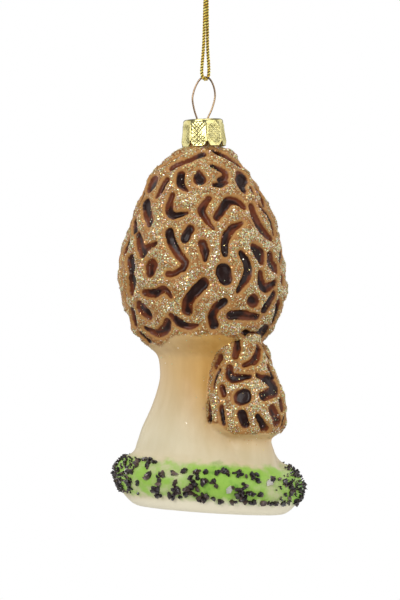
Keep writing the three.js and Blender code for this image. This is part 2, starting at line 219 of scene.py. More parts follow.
# Lurex: metallised film wound on a yarn. Each turn of film is a paler or a darker gold sliver, as
# painted highlight and painted shade, and the grooves between the strands are painted brown shade.
lurex, tree = new_material("gold_lurex")
place = add_node(tree, "TexCoord")
flecks = add_node(
    tree, "TexNoise", {"Vector": place.outputs["Object"], "Scale": 1 / (0.45 * MM), "Detail": 1.0}
)
# Painted highlight and shade: the film's slivers run at random from darker gold to pale yellow.
film = add_node(tree, "ValToRGB", {"Fac": flecks.outputs["Fac"]})
film.color_ramp.elements[0].position = 0.36
film.color_ramp.elements[0].color = linear("#CB9714")
film.color_ramp.elements[1].position = 0.62
film.color_ramp.elements[1].color = linear("#FFF688")
middle = film.color_ramp.elements.new(0.48)
middle.color = linear("#F7D03C")
# Painted shade: the grooves between the strands are darkened to brown.
between = add_node(tree, "Attribute", attribute_name="groove")
shade = add_node(
    tree, "MapRange", {"Value": between.outputs["Fac"], "From Min": 0.3, "From Max": 0.8}
)
film_and_groove_shade = add_node(
    tree,
    "MixRGB",
    {"Fac": shade.outputs["Result"], "Color1": film.outputs["Color"], "Color2": linear("#3E2504")},
)
shader = add_node(
    tree,
    "BsdfPrincipled",
    {"Base Color": film_and_groove_shade.outputs["Color"], "Metallic": 0.35, "Roughness": 0.28},
)
surface_out(tree, shader)

bm = bmesh.new()
thread_run = smooth_run(THREAD_ROUTE, THREAD_STEP)
sweep(bm, thread_run, *TWISTED)
thread = add_piece(bm, "thread", "metallic_thread", lurex, "hanging_thread")

# The knot: two turns of the doubled thread drawn tight, with the two cut ends above.
KNOT_X = 0.3
KNOT_BOTTOM = 25.9
KNOT_COIL_RADIUS = 1.05
KNOT_TURNS = 2.25
KNOT_RISE = 2.4
KNOT_POINTS = 28
KNOT_STEP = 0.18
bm = bmesh.new()
coil = []
for n in range(KNOT_POINTS):
    t = n / (KNOT_POINTS - 1)
    turn = 2 * math.pi * KNOT_TURNS * t + 0.6
    coil.append(
        (
            KNOT_X + KNOT_COIL_RADIUS * math.cos(turn),
            KNOT_COIL_RADIUS * math.sin(turn),
            KNOT_BOTTOM + 0.55 + KNOT_RISE * t + 0.25 * math.sin(2 * turn),
        )
    )
sweep(bm, smooth_run(coil, KNOT_STEP), *TWISTED)
for side in (-1, 1):
    end = [
        (KNOT_X + side * 0.15, side * -0.5, KNOT_BOTTOM + 0.2),
        (KNOT_X + side * 0.3, side * -0.2, KNOT_BOTTOM + 2.0),
        (KNOT_X + side * 0.8, side * 0.4, KNOT_BOTTOM + 4.8),
        (KNOT_X + side * 1.7, side * 0.9, KNOT_BOTTOM + 7.8),
    ]
    sweep(bm, smooth_run(end, KNOT_STEP), *TWISTED)
knot = add_piece(bm, "knot", "metallic_thread", lurex, "thread_knot")

# ---------------------------------------------------------------------------------------------
# Ring and legs. One length of brass-plated spring wire: a pointed ring above the crown cap, and
# two legs that go through the cap and spring open inside the glass neck, which holds the cap on.
WIRE_DIAMETER = 0.55
WIRE_ROUTE = [
    (-4.0, -29), (-3.4, -24), (-2.5, -18.5), (-2.1, -14.5), (-2.35, -12.4), (-3.2, -9.7),
    (-3.75, -6.6), (-3.5, -4.6), (-2.75, -2.4), (-1.5, -0.4), (0.0, WIRE_DIAMETER / 2), (1.4, -0.3),
    (2.4, -2.0), (2.95, -4.2), (2.9, -6.4), (2.0, -9.5), (0.75, -12.3), (0.6, -14.5),
    (1.2, -18.5), (2.4, -24), (3.0, -29),
]
WIRE_STEP = 0.4
WIRE_SIDES = 12

# Plated wire: bright, drawn smooth, with the pinkish cast of thin brass over copper.
plated, tree = new_material("brass_plated_spring_wire")
place = add_node(tree, "TexCoord")
tint = add_node(tree, "TexNoise", {"Vector": place.outputs["Object"], "Scale": 1 / (4 * MM)})
tone = add_node(
    tree,
    "MixRGB",
    {"Fac": tint.outputs["Fac"], "Color1": linear("#AD946A"), "Color2": linear("#80675C")},
)
shader = add_node(
    tree,
    "BsdfPrincipled",
    {"Base Color": tone.outputs["Color"], "Metallic": 1.0, "Roughness": 0.2},
)
surface_out(tree, shader)
bm = bmesh.new()
wire_run = smooth_run([(x, 0, z) for x, z in WIRE_ROUTE], WIRE_STEP)
sweep(bm, wire_run, WIRE_DIAMETER / 2, WIRE_SIDES)
add_piece(bm, "wire_ring", "plated_wire", plated, "hanger_wire")

# ---------------------------------------------------------------------------------------------
# Crown cap. Thin gold-anodised aluminium, stamped into a shallow cup whose skirt is slit into
# eight petals with clipped corners, and rolled with a diamond pattern.
CAP_CENTRE = Vector((-0.6, 0, -12.45))
CAP_TILT = 0.042
CAP_HEIGHT = 8.2
CAP_TOP = [(0, 0.1), (2.6, 0.08), (4.6, 0.04), (5.3, 0.0), (5.62, -0.12), (5.86, -0.34), (6.0, -0.66)]
SKIRT_TOP_Z = -0.95
SKIRT_TOP_RADIUS = 6.06
SKIRT_FOOT_RADIUS = 6.85
SKIRT_ROWS = 40
COLUMNS = 256
PETALS = 8
FIRST_SLIT = math.radians(8 - 90)
SLIT_HALF_WIDTH = 0.17
SLIT_START = 0.6  # from the skirt's top
SHORT_SLIT = 1
SHORT_SLIT_DEPTH = 0.28  # of the skirt's height
CORNER_CUT = 1.9
PETAL_FLATNESS = 0.92
DIAMOND_PITCH = 1.25
DIAMOND_DEPTH = 0.32
SHEET = 0.28

bm = bmesh.new()
profile = [bm.verts.new((r, 0, z)) for r, z in CAP_TOP]
for row in range(SKIRT_ROWS + 1):
    t = row / SKIRT_ROWS
    r = SKIRT_TOP_RADIUS + (SKIRT_FOOT_RADIUS - SKIRT_TOP_RADIUS) * t
    profile.append(bm.verts.new((r, 0, SKIRT_TOP_Z - (CAP_HEIGHT + SKIRT_TOP_Z) * t)))
for a, b in zip(profile, profile[1:]):
    bm.edges.new((a, b))
bmesh.ops.spin(
    bm,
    geom=bm.verts[:] + bm.edges[:],
    axis=(0, 0, 1),
    cent=(0, 0, 0),
    steps=COLUMNS,
    angle=2 * math.pi,
    use_merge=True,
)
bmesh.ops.remove_doubles(bm, verts=bm.verts, dist=1e-4)


def petal_place(x, y):
    """How far round its petal a point is, from -1 to 1, and the nearest slit's number."""
    turn = (math.atan2(y, x) - FIRST_SLIT) / (2 * math.pi / PETALS)
    return 2 * (turn % 1.0) - 1, round(turn) % PETALS


slit_faces = []
for face in bm.faces:
    middle = face.calc_center_median()
    if middle.z > SKIRT_TOP_Z - SLIT_START:
        continue
    across, slit = petal_place(middle.x, middle.y)
    gap = (1 - abs(across)) * math.pi / PETALS * middle.xy.length
    depth = (SKIRT_TOP_Z - middle.z) / (CAP_HEIGHT + SKIRT_TOP_Z)
    short = slit == SHORT_SLIT and depth < 1 - SHORT_SLIT_DEPTH
    if gap < SLIT_HALF_WIDTH and not short:
        slit_faces.append(face)
bmesh.ops.delete(bm, geom=slit_faces, context="FACES")
for v in bm.verts:
    if v.co.z > SKIRT_TOP_Z + 0.01:
        continue
    across, _ = petal_place(v.co.x, v.co.y)
    down = (SKIRT_TOP_Z - v.co.z) / (CAP_HEIGHT + SKIRT_TOP_Z)
    radius = v.co.xy.length
    # Each petal is nearly flat between its two slits.
    flat = math.cos(math.pi / PETALS) / math.cos(across * math.pi / PETALS)
    radius *= 1 - PETAL_FLATNESS * min(1, 0.4 + 2 * down) * (1 - flat)
    # The rolled diamonds fade out towards the petal's edges, and are uneven in depth.
    along = across * math.pi / PETALS * radius
    lines = math.cos(math.pi * (along + v.co.z) / DIAMOND_PITCH)
    cross = math.cos(math.pi * (along - v.co.z) / DIAMOND_PITCH)
    fade = min(1, max(0, (0.9 - abs(across)) * 5)) * min(1, 6 * down) * min(1, 6 * (1 - down))
    fade *= 0.95 + 0.9 * noise.noise(v.co / 2.6)
    radius += DIAMOND_DEPTH * fade * (min(1, 1.9 * min(abs(lines), abs(cross))) - 0.5)
    v.co.xy = v.co.xy.normalized() * radius
    corner = max(0.0, (abs(across) - 0.5) / 0.5) ** 1.5
    v.co.z += corner * CORNER_CUT * down**2
bmesh.ops.transform(
    bm,
    matrix=Matrix.Translation(CAP_CENTRE) @ Matrix.Rotation(-CAP_TILT, 4, "Y"),
    verts=bm.verts,
)

# Anodised aluminium: pale greenish gold, satin from the rolled sheet, with fine scuffs.
anodised, tree = new_material("gold_anodised_aluminium")
place = add_node(tree, "TexCoord")
scuffs = add_node(
    tree, "TexNoise", {"Vector": place.outputs["Object"], "Scale": 1 / (0.9 * MM), "Detail": 4.0}
)
tone = add_node(
    tree,
    "MixRGB",
    {"Fac": scuffs.outputs["Fac"], "Color1": linear("#AF9D40"), "Color2": linear("#EEE7B0")},
)
rough = add_node(
    tree, "MapRange", {"Value": scuffs.outputs["Fac"], "To Min": 0.1, "To Max": 0.26}
)
shader = add_node(
    tree,
    "BsdfPrincipled",
    {"Base Color": tone.outputs["Color"], "Metallic": 1.0, "Roughness": rough.outputs["Result"]},
)
surface_out(tree, shader)
crown = add_piece(bm, "crown_cap", "gold_cap", anodised, "metal_cap")
sheet = crown.modifiers.new("sheet", "SOLIDIFY")
sheet.thickness = SHEET * MM
sheet.offset = -1

# ---------------------------------------------------------------------------------------------
# Glass. One mould-blown bubble: a large morel cap on a waisted stem, a small morel against its
# front right, and a spreading foot. It is painted, with the pits picked out in dark varnish.
# Each level gives its height, then its left, right, front and back.
LARGE_MOREL = [
    (-14.1, -5.5, 4.5, -5.0, 5.0),
    (-17.0, -5.5, 4.5, -5.0, 5.0),
    (-20.9, -5.7, 4.7, -5.2, 5.2),
    (-22.3, -8.8, 7.6, -8.2, 8.2),
    (-24.5, -12.4, 9.8, -10.8, 10.8),
    (-28.5, -16.0, 13.2, -14.2, 14.2),
    (-34.0, -18.9, 17.0, -17.2, 17.2),
    (-41.5, -21.6, 20.6, -20.2, 20.2),
    (-49.5, -24.2, 22.6, -22.4, 22.4),
    (-57.0, -25.9, 24.0, -23.6, 23.6),
    (-63.5, -25.6, 24.5, -23.8, 23.8),
    (-69.0, -24.0, 23.5, -22.6, 22.6),
    (-73.5, -22.6, 21.5, -20.8, 20.8),
    (-77.3, -20.8, 19.0, -18.6, 18.6),
    (-80.5, -17.0, 15.6, -15.2, 15.2),
    (-83.5, -14.2, 13.0, -12.6, 12.6),
    (-88.0, -13.5, 12.4, -12.0, 12.0),
    (-94.0, -14.4, 12.8, -12.4, 12.4),
    (-100.0, -16.6, 14.6, -13.4, 13.4),
    (-106.0, -19.1, 17.6, -15.4, 15.4),
    (-110.5, -20.4, 20.6, -17.2, 17.2),
    (-113.5, -21.4, 22.6, -18.6, 18.2),
    (-115.6, -24.6, 26.2, -20.8, 20.2),
    (-118.8, -27.0, 29.0, -22.6, 21.8),
    (-122.4, -26.8, 29.2, -22.6, 21.8),
    (-126.0, -24.6, 27.4, -20.8, 20.4),
    (-128.5, -22.2, 25.0, -19.2, 18.8),
    (-129.4, -20.4, 23.2, -17.6, 17.2),
]
SMALL_MOREL = [
    (-74.5, 8.8, 12.8, -10.2, -6.2),
    (-76.5, 6.0, 15.6, -13.0, -3.4),
    (-80.0, 3.6, 17.9, -15.6, -1.0),
    (-84.0, 2.3, 19.8, -17.4, 0.6),
    (-90.0, 1.2, 21.9, -19.2, 1.8),
    (-96.0, 0.6, 24.0, -20.4, 2.6),
    (-99.5, 0.1, 24.5, -20.8, 2.8),
    (-103.0, -0.1, 24.0, -20.6, 2.4),
    (-105.6, 1.8, 22.0, -19.0, 1.0),
    (-107.4, 4.4, 19.7, -16.2, -0.8),
    (-110.5, 3.4, 20.6, -16.4, -0.6),
    (-114.0, 3.0, 21.4, -16.4, 0.0),
    (-120.0, 3.0, 20.5, -15.0, 0.0),
]
FOOT_SLOPE = -0.065
FOOT_SLOPE_X = 1.0
LEVEL_STEP = 0.9
SIDES = 140
VOXEL = 0.51
SMOOTHING = 3


def smoothstep(value, low, high):
    t = np.clip((value - low) / (high - low), 0, 1)
    return t * t * (3 - 2 * t)


def foot_slope(z):
    return FOOT_SLOPE * smoothstep(-z, 100, 113)


def add_bubble(bm, outline):
    """A closed shell through the outline's levels: a spun tube pulled out to each level's oval."""
    levels = smooth_run(outline, LEVEL_STEP)
    part = bmesh.new()
    rows = [part.verts.new((1, 0, n)) for n in range(len(levels))]
    for a, b in zip(rows, rows[1:]):
        part.edges.new((a, b))
    bmesh.ops.spin(
        part,
        geom=part.verts[:] + part.edges[:],
        axis=(0, 0, 1),
        cent=(0, 0, 0),
        steps=SIDES,
        angle=2 * math.pi,
        use_merge=True,
    )
    for v in part.verts:
        z, left, right, front, back = levels[round(v.co.z)]
        x = (left + right) / 2 + v.co.x * (right - left) / 2
        y = (front + back) / 2 + v.co.y * (back - front) / 2
        v.co = (x, y, z + foot_slope(z) * (x - FOOT_SLOPE_X))
    bmesh.ops.holes_fill(part, edges=part.edges)
    bmesh.ops.recalc_face_normals(part, faces=part.faces)
    scratch = bpy.data.meshes.new("bubble")
    part.to_mesh(scratch)
    part.free()
    bm.from_mesh(scratch)
    bpy.data.meshes.remove(scratch)


bm = bmesh.new()
add_bubble(bm, LARGE_MOREL)
add_bubble(bm, SMALL_MOREL)
glass_mesh = bpy.data.meshes.new("glass")
bm.to_mesh(glass_mesh)
bm.free()
glass = bpy.data.objects.new("glass", glass_mesh)
bpy.context.scene.collection.objects.link(glass)
joined = glass.modifiers.new("joined", "REMESH")
joined.mode = "VOXEL"
joined.voxel_size = VOXEL
bpy.context.view_layer.update()
blown = bpy.data.meshes.new_from_object(glass.evaluated_get(bpy.context.evaluated_depsgraph_get()))
bpy.data.objects.remove(glass)
bm = bmesh.new()
bm.from_mesh(blown)
for _ in range(SMOOTHING):
    bmesh.ops.smooth_vert(
        bm, verts=bm.verts, factor=0.5, use_axis_x=True, use_axis_y=True, use_axis_z=True
    )
bm.normal_update()
bm.to_mesh(blown)
bm.free()

# Pits of the large cap's front, each with its widths along it and the places that it runs
# through, as (x, z). The back has the same ones turned round, each moved a little, and the sides
# are filled with short ones wherever there is room between these.
LARGE_PITS = [
    ((1.3, 1.7, 1.3), [(2.4, -26.4), (5.9, -28.4), (6.1, -29.9), (4.4, -31.0)]),
    ((0.8, 3.6), [(-1.9, -28.2), (-1.7, -29.6), (-1.6, -30.8)]),
    ((2.2, 2.2, 0.5), [(-7.4, -29.2), (-7.5, -31.9), (-5.3, -34.2)]),
    ((2.4, 2.0), [(-16.2, -31.6), (-16.6, -32.3)]),
    ((2.6, 2.3, 1.3), [(11.5, -29.8), (10.9, -31.6), (11.6, -34.0)]),
    ((1.5, 2.2, 1.7, 0.8), [(-10.1, -35.5), (-10.9, -39.6), (-9.4, -41.6), (-5.5, -40.8)]),
    ((1.4, 2.2, 1.6, 0.6), [(1.2, -36.4), (-1.0, -39.9), (0.5, -42.9), (2.6, -45.4)]),
    ((1.9, 2.4, 2.3, 1.5), [(3.6, -42.0), (5.4, -39.4), (7.2, -37.2), (9.5, -37.2), (11.7, -38.8)]),
    ((1.6, 2.3, 1.9, 0.6), [(14.2, -39.0), (15.6, -43.3), (17.7, -46.0), (20.5, -48.6)]),
    ((1.5, 2.0, 1.7), [(-18.0, -37.8), (-17.5, -41.0), (-16.8, -43.6)]),
    ((1.0, 1.7, 2.2), [(-20.3, -47.2), (-19.6, -50.2), (-18.5, -52.4)]),
    ((1.9, 1.0), [(-18.2, -51.4), (-15.0, -49.9)]),
    ((2.2, 2.3, 2.2, 1.8), [(-10.8, -46.5), (-9.8, -50.0), (-7.7, -53.4), (-6.0, -55.5), (-6.6, -57.4)]),
    ((2.3, 2.4), [(-4.5, -45.6), (-6.1, -48.4)]),
    ((2.2, 2.4, 1.0), [(-0.9, -49.8), (-0.1, -51.9), (0.1, -54.8)]),
    ((0.8, 2.3, 2.2, 1.6), [(11.1, -43.8), (7.9, -45.8), (6.0, -49.2), (6.0, -53.0)]),
    ((1.6, 3.0, 1.5), [(14.7, -51.0), (16.3, -52.7), (17.0, -55.0)]),
    ((1.6, 2.0, 1.5), [(19.7, -53.6), (20.0, -55.7), (21.3, -57.1)]),
    ((3.1, 2.1), [(-16.2, -56.4), (-16.5, -58.5)]),
    ((4.4, 3.8), [(5.6, -58.2), (6.2, -60.2)]),
    ((1.5, 2.1, 2.2, 0.8), [(11.0, -52.8), (12.6, -55.9), (12.6, -59.4), (9.8, -64.2)]),
    ((1.6, 2.5, 2.0, 1.2), [(16.6, -58.8), (17.2, -61.9), (18.6, -63.1), (21.1, -61.4)]),
    ((1.8, 1.5), [(-22.5, -54.8), (-22.2, -57.7)]),
    ((2.0, 1.1), [(-22.1, -60.7), (-22.5, -64.3)]),
    ((1.7, 2.4, 1.7, 0.7), [(-18.4, -64.6), (-15.2, -64.8), (-12.2, -63.5), (-10.2, -65.9)]),
    ((2.6, 2.4), [(-19.5, -69.0), (-17.2, -71.1)]),
    ((3.1, 3.0, 2.7, 3.0), [(-0.5, -61.7), (-3.5, -64.9), (-5.3, -67.6), (-5.4, -69.9)]),
    ((1.9, 2.4, 2.4, 2.6), [(5.8, -67.2), (3.3, -69.1), (2.1, -71.9), (2.8, -74.3)]),
    ((2.7, 2.7, 1.7), [(7.9, -71.3), (11.8, -71.5), (15.7, -71.9)]),
    ((3.2, 3.0), [(14.4, -66.9), (14.8, -67.2)]),
    ((1.2, 2.0, 1.8, 0.8), [(-10.2, -71.3), (-7.8, -73.5), (-5.4, -74.7), (-2.4, -74.3)]),
    ((1.0, 1.9, 2.5, 2.0), [(-17.9, -75.2), (-14.2, -76.9), (-11.9, -75.3), (-11.2, -73.2)]),
    ((2.5, 2.4), [(17.3, -76.0), (17.8, -76.6)]),
    ((1.4, 1.5), [(-0.7, -22.8), (-5.2, -24.9), (-9.9, -27.0)]),
    ((0.5, 0.5), [(-8.2, -23.7), (-13.3, -26.6)]),
    ((1.8, 1.2), [(3.4, -21.8), (7.1, -24.1), (10.6, -26.0)]),
    ((1.0, 1.4, 0.8), [(3.0, -32.3), (5.0, -32.2), (6.6, -31.4)]),
    ((1.5, 1.5, 0.7), [(-11.9, -30.8), (-13.6, -33.9), (-14.8, -35.9)]),
    ((0.7, 0.7), [(14.2, -33.2), (14.5, -34.3)]),
    ((0.8, 0.8), [(16.5, -38.2), (18.0, -39.8)]),
    ((0.9, 0.9), [(-21.4, -42.9), (-21.1, -45.8)]),
    ((1.4, 1.3, 1.5), [(-7.6, -57.8), (-9.6, -59.0), (-11.2, -58.9)]),
    ((1.4, 1.2), [(-23.3, -50.0), (-23.8, -51.9)]),
    ((0.6, 0.5), [(-24.7, -52.8), (-25.1, -55.4)]),
    ((1.0, 0.8), [(-24.9, -58.6), (-25.0, -61.0)]),
    ((0.7, 0.6), [(-23.9, -65.4), (-23.5, -68.3)]),
    ((1.6, 1.4), [(-21.7, -70.9), (-21.5, -73.4)]),
    ((1.3, 1.6), [(20.7, -65.0), (17.9, -69.6)]),
    ((1.3, 1.3), [(22.0, -68.0), (20.8, -73.0)]),
    ((0.6, 0.6), [(23.2, -59.6), (23.2, -61.0)]),
    ((1.4, 1.3), [(-19.3, -77.4), (-17.3, -78.9)]),
    ((1.2, 1.1), [(11.9, -76.4), (15.2, -77.4)]),
]
SMALL_PITS = [
    ((1.0, 2.1, 1.7), [(9.6, -78.6), (9.3, -80.8), (8.9, -83.0)]),
    ((1.3, 2.0, 1.0), [(16.2, -80.3), (15.2, -83.8), (11.5, -85.7)]),
    ((2.2, 2.6, 0.9), [(6.8, -86.6), (7.6, -89.4), (13.4, -88.9)]),
    ((0.9, 2.0, 2.0, 2.4), [(15.7, -88.5), (19.8, -90.6), (21.0, -93.1), (17.4, -94.8)]),
    ((4.2, 4.0), [(10.4, -95.2), (11.6, -94.7)]),
    ((2.6, 2.2), [(10.7, -100.2), (11.8, -103.4)]),
    ((1.4, 1.8), [(15.7, -100.8), (17.9, -105.0)]),
    ((2.4, 2.3), [(20.2, -98.9), (21.9, -102.6)]),
    ((1.3, 0.8), [(4.1, -83.6), (2.9, -86.1)]),
    ((0.6, 0.6), [(3.8, -87.2), (2.3, -92.0)]),
    ((1.5, 1.4), [(4.7, -92.4), (5.0, -94.3)]),
    ((1.2, 1.0), [(19.2, -86.5), (20.4, -88.9)]),
    ((0.7, 0.6), [(0.9, -97.1), (1.3, -102.7)]),
    ((1.3, 0.8), [(4.3, -98.3), (5.3, -103.2)]),
    ((1.2, 1.0), [(23.0, -96.6), (23.4, -98.5)]),
    ((0.6, 0.5), [(24.0, -101.3), (22.9, -104.3)]),
]
PIT_SHIFT = 1.2
PIT_SPREAD = 0.3  # the varnish runs this far past each pit's edge
PIT_DEPTH = 1.0
PIT_WALL = 0.8  # from a pit's edge in to its floor
RIDGE_RISE = 0.9
RIDGE_LIP = 0.15
RIDGE_ROOM = 2.7  # a side place this far from any pit gets one of its own
SIDE_PIT_REACH = 3.2  # the most that such a pit runs each way from its middle
SIDE_PIT_RADIUS = 1.3
CAP_EDGE = -76.8  # heights where the caps' paint ends
SMALL_CAP_EDGE = -104.9
GREEN_TOP = -114.6
GREEN_BOTTOM = -125.7
FAR = 6.0


class Bubble:
    """Where one morel's smooth skin is, by height."""

    def __init__(self, outline):
        levels = np.array(smooth_run(outline, LEVEL_STEP))
        self.levels = levels[np.argsort(levels[:, 0])]

    def oval(self, z):
        """Centre and half-size of the level at each height, across and deep."""
        left, right, front, back = (
            np.interp(z, self.levels[:, 0], self.levels[:, n]) for n in (1, 2, 3, 4)
        )
        return (left + right) / 2, (right - left) / 2, (front + back) / 2, (back - front) / 2

    def outside(self, points):
        """Roughly how far each point is outside the skin, in millimetres."""
        x, half_x, y, half_y = self.oval(points[:, 2])
        reach = np.hypot((points[:, 0] - x) / half_x, (points[:, 1] - y) / half_y)
        return (reach - 1) * (half_x + half_y) / 2

    def steepness(self, z):
        """How much longer the skin is than it looks from the side, up and down, at this height."""
        narrowing = self.oval(z - 0.5)[1] - self.oval(z + 0.5)[1]
        return min(1.8, math.hypot(1, narrowing))

    def on_skin(self, x, z, side):
        """The skin's point at (x, z), on its front (side -1) or back (side 1), and its slant."""
        centre_x, half_x, centre_y, half_y = self.oval(z)
        across = np.clip((x - centre_x) / half_x, -0.985, 0.985)
        facing = math.sqrt(1 - across**2)
        return (centre_x + across * half_x, centre_y + side * half_y * facing, z), facing


large = Bubble(LARGE_MOREL)
small = Bubble(SMALL_MOREL)


def pit_distance(points, field, bubble, pits, side):
    """Lowers the field to each point's distance past the nearest pit's edge."""
    for number, (widths, route) in enumerate(pits):
        if side > 0:
            moved = [(x + PIT_SHIFT * math.sin(2.1 * number), z) for x, z in route]
            route = []
            for x, z in moved:
                z += PIT_SHIFT * math.cos(3.7 * number)
                route.append((2 * bubble.oval(z)[0] - x, z))
        run = smooth_run(route, 0.4)
        spread = np.interp(
            np.linspace(0, 1, len(run)), np.linspace(0, 1, len(widths)), widths
        )
        heading = run[-1] - run[0]
        upright = abs(heading[1]) / max(np.linalg.norm(heading), 1e-6)
        for (x, z), width in zip(run, spread):
            spot, facing = bubble.on_skin(x, z, side)
            widen = 1 + upright * (1 / max(facing, 0.4) - 1)
            widen += (1 - upright) * (bubble.steepness(z) - 1)
            radius = width * widen / 2 + PIT_SPREAD
            near = np.flatnonzero(np.abs(points - spot).max(axis=1) < radius + 4)
            gap = np.linalg.norm(points[near] - spot, axis=1) - radius
            field[near] = np.minimum(field[near], gap)


count = len(blown.vertices)
points = np.empty(count * 3)
normals = np.empty(count * 3)
blown.vertices.foreach_get("co", points)
blown.vertices.foreach_get("normal", normals)
points = points.reshape(-1, 3)
normals = normals.reshape(-1, 3)
x, y, z = points.T

# How far up on a cap each point is, past the edge where the cap's paint ends.
centre_x, half_x, _, _ = large.oval(z)
off_axis = np.abs(x - centre_x) / half_x
large_edge = CAP_EDGE - 3.2 * smoothstep(off_axis, 0.3, 0.75)
past_small = small.outside(points)
small_edge = SMALL_CAP_EDGE - 0.11 * (x - 0.5) + 2.2 * smoothstep(-x, -9, -2)
on_small = (past_small < 0.6) & (past_small < large.outside(points) + 0.3) & (z < -75)
from_small = np.where(on_small, z - small_edge, -np.maximum(past_small, small_edge - z))
on_cap = np.maximum(z - large_edge, from_small)
green_lean = FOOT_SLOPE * (x - FOOT_SLOPE_X)
on_foot = np.minimum(GREEN_TOP + green_lean - z, z - GREEN_BOTTOM - green_lean)

field = np.full(count, FAR)
large_part = ~on_small
for part, bubble, pits in ((large_part, large, LARGE_PITS), (on_small, small, SMALL_PITS)):
    own = np.full(part.sum(), FAR)
    for side in (-1, 1):
        pit_distance(points[part], own, bubble, pits, side)
    field[part] = own

rng = np.random.default_rng(17)
to_side = (normals[:, 1] > -0.42) & (on_cap > 1.6) & (z < -24)
while True:
    free = np.where(to_side, field, 0)
    seat = int(free.argmax())
    if free[seat] < RIDGE_ROOM:
        break
    lean = rng.uniform(-1.2, 1.2)
    across = Vector(normals[seat]).cross((0, 0, 1)).normalized()
    along = math.sin(lean) * across + math.cos(lean) * across.cross(Vector(normals[seat]))
    reach = min(SIDE_PIT_REACH, free[seat] - 0.4)
    bend = across * rng.uniform(-1.4, 1.4)
    for t in np.linspace(-1, 1, 13):
        spot = points[seat] + np.array(along * reach * t + bend * (t * t - 0.5))
        radius = SIDE_PIT_RADIUS - 0.2 * t * t
        near = np.flatnonzero(np.abs(points - spot).max(axis=1) < radius + 4)
        gap = np.linalg.norm(points[near] - spot, axis=1) - radius
        field[near] = np.minimum(field[near], gap)
field = np.where(on_cap > -0.5, np.minimum(field, 4.0), 4.0)

lumps = np.array([noise.noise(Vector(p) / 5.5) for p in points])
wobble = np.array([noise.noise(Vector(p) / 1.6 + Vector((9, 3, 1))) for p in points])
field = field + 0.22 * wobble
sunk = np.clip(-field / PIT_WALL, 0, 1)
rise = RIDGE_RISE * (smoothstep(field, 0.0, 2.2) - 0.5)
lip = RIDGE_LIP * np.exp(-(((field - 0.45) / 0.4) ** 2))
cap_share = smoothstep(on_cap, -0.6, 1.2)
shift = cap_share * (rise + lip - PIT_DEPTH * (1 - (1 - sunk) ** 2) + 0.5 * lumps + 0.12 * wobble)
shift += (1 - cap_share) * smoothstep(z, -131, -112) * 0.25 * lumps
points = points + normals * shift[:, None]
blown.vertices.foreach_set("co", (points * MM).ravel())
blown.update()

to_right = smoothstep(x, -14, 4)
golden = smoothstep(z + 8 * to_right, -110, -84) * (0.58 + 0.42 * to_right)
golden = np.maximum(golden, 0.75 * np.exp(-np.clip(-from_small, 0, 40) / 4.5))
golden -= smoothstep(-z, 123.5, 127)  # the foot's underside is paler than the stem
# The airbrushed green, from pale and yellowish (0) to bright (1), by how far right it is on the
# front; the back has the same turned round.
MOSS = [
    (-28, 1.0), (-24, 0.8), (-19, 0.5), (-12, 0.3), (-5, 0.5), (0, 0.95), (4, 1.0), (10, 1.0),
    (15, 0.75), (20, 0.35), (24, 0.6), (27, 1.2),
]
from_front = np.where(normals[:, 1] < 0, x, 2 - x)
moss = np.interp(from_front, *zip(*MOSS)) + 0.45 * lumps
for name, values in (
    ("pit", field), ("cap", on_cap), ("foot", on_foot), ("gold", golden), ("moss", moss)
):
    layer = blown.attributes.new(name, "FLOAT", "POINT")
    layer.data.foreach_set("value", values.astype(np.float32))

# Painted and lacquered glass: satin tan ridges, pits in glossy dark varnish that thins to red
# brown at their edges, a cream stem airbrushed golden under the caps, and a green mossy band.
painted, tree = new_material("painted_lacquered_glass")
place = add_node(tree, "TexCoord").outputs["Object"]


def painted_value(name):
    return add_node(tree, "Attribute", attribute_name=name).outputs["Fac"]


def speckle(grain, detail=2.0, stretch=(1, 1, 1)):
    """Noise with a grain of so many millimetres."""
    where = add_node(tree, "Mapping", {"Vector": place, "Scale": stretch})
    made = add_node(
        tree,
        "TexNoise",
        {"Vector": where.outputs["Vector"], "Scale": 1 / (grain * MM), "Detail": detail},
    )
    return made.outputs["Fac"]


def ragged(value, noise_value, amount):
    """The value with noise of plus or minus half the amount."""
    return add_node(
        tree, "Math", {0: noise_value, 1: amount, 2: value}, operation="MULTIPLY_ADD"
    ).outputs[0]


def ramp(value, low, high, start=0.0, end=1.0):
    return add_node(
        tree,
        "MapRange",
        {"Value": value, "From Min": low, "From Max": high, "To Min": start, "To Max": end},
        interpolation_type="SMOOTHSTEP",
    ).outputs["Result"]


def blend_colour(share, first, second):
    return add_node(tree, "MixRGB", {"Fac": share, "Color1": first, "Color2": second}).outputs[0]


FLECK = 0.34  # size of the finest glitter, which lies under the loose flakes
pit = painted_value("pit")
fine = speckle(0.7)
medium = speckle(3.0)
broad = speckle(8.0)
ridge = blend_colour(ramp(medium, 0.35, 0.65), linear("#8E5D2E"), linear("#AE7C44"))
ridge = blend_colour(ramp(fine, 0.42, 0.7, 0.0, 0.5), ridge, linear("#7C4E2B"))
smooth_tan = blend_colour(broad, linear("#A87640"), linear("#BC8C50"))
flecks = add_node(tree, "TexVoronoi", {"Vector": place, "Scale": 1 / (FLECK * MM)})
fleck_parts = add_node(tree, "SeparateColor", {"Color": flecks.outputs["Color"]}).outputs
fleck_tint = blend_colour(ramp(fleck_parts[1], 0.3, 0.4), linear("#C8884E"), linear("#DACB98"))
fleck_tint = blend_colour(ramp(fleck_parts[1], 0.7, 0.8), fleck_tint, linear("#B9C28A"))
ridge = blend_colour(ramp(fleck_parts[0], 0.68, 0.74, 0.0, 0.8), ridge, fleck_tint)
ridge = blend_colour(ramp(ragged(pit, medium, 1.6), 1.1, 1.8), smooth_tan, ridge)
varnish_depth = ragged(ragged(pit, medium, 1.8), broad, 6.5)
varnish = blend_colour(ramp(varnish_depth, 2.85, 4.15), linear("#230D07"), linear("#6C3418"))
pit_share = ramp(ragged(pit, fine, 0.35), -0.08, 0.26, 1.0, 0.0)
cap_colour = blend_colour(pit_share, ridge, varnish)
streaks = speckle(2.6, 3.0, (1, 1, 0.14))
cream = blend_colour(streaks, linear("#D5C7A0"), linear("#E1D6B8"))
